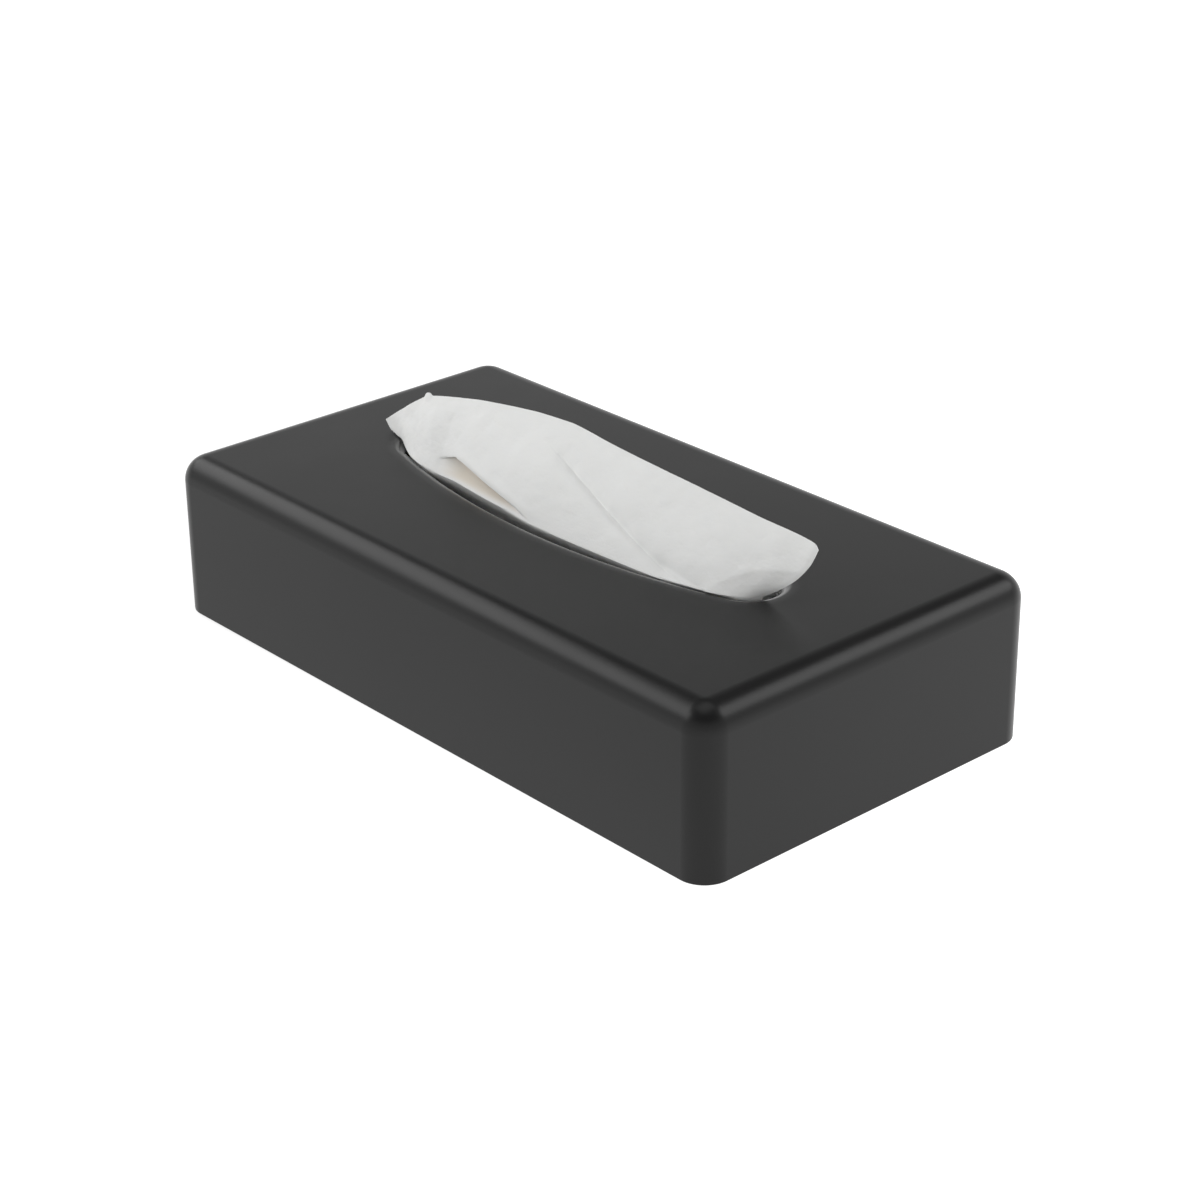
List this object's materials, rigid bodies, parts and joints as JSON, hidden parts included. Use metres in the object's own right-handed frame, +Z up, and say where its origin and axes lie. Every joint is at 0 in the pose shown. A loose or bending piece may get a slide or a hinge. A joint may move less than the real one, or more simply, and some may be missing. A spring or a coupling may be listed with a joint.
{
  "type": "napkin dispenser",
  "caption": "Low tabletop dispenser: satin black lift-off cover with an oval slot over a base tray, a sprung follower and a pack of interfolded napkins.",
  "frame": {"origin": "centre of the footprint, on the surface that the feet stand on", "axes": "+X along the long side, +Y from front to back, +Z up"},
  "size_m": [0.25, 0.135, 0.0781],
  "materials": {
    "cover_satin_black": "satin, fine moulded grain",
    "tray_plastic": "moulded, fine texture",
    "foot_rubber": "matte",
    "guide_steel": "zinc-plated sheet",
    "screw_steel": "bright",
    "spring_steel": "drawn wire",
    "magnet_nickel": "nickel plate",
    "napkin_paper": "soft embossed two-ply"
  },
  "bodies": {
    "base": {"base_tray": "tray_plastic", "foot_front_left": "foot_rubber", "foot_front_right": "foot_rubber", "foot_rear_left": "foot_rubber", "foot_rear_right": "foot_rubber", "keeper_front_left": "guide_steel", "keeper_front_right": "guide_steel", "keeper_rear_left": "guide_steel", "keeper_rear_right": "guide_steel", "end_guide_left": "guide_steel", "end_guide_right": "guide_steel", "guide_screws": "screw_steel", "follower_spring_left": "spring_steel", "follower_spring_right": "spring_steel"},
    "follower": {"follower_plate": "guide_steel", "napkin_pack": "napkin_paper"},
    "cover": {"cover_shell": "cover_satin_black", "magnet_front_left": "magnet_nickel", "magnet_front_right": "magnet_nickel", "magnet_rear_left": "magnet_nickel", "magnet_rear_right": "magnet_nickel"},
    "napkin": {"top_napkin": "napkin_paper"}
  },
  "joints": [
    {"name": "follower_travel", "type": "slide", "parent": "base", "child": "follower", "axis": [0, 0, 1], "range_m": [-0.014, 0], "stiffness_N_per_m": 500, "springref_m": 0.02, "deforming": ["follower_spring_left", "follower_spring_right"]},
    {"name": "cover_lift", "type": "slide", "parent": "base", "child": "cover", "axis": [0, 0, 1], "range_m": [0, 0.07]},
    {"name": "napkin_pull", "type": "slide", "parent": "cover", "child": "napkin", "axis": [0, 0, 1], "range_m": [0, 0.1]}
  ]
}
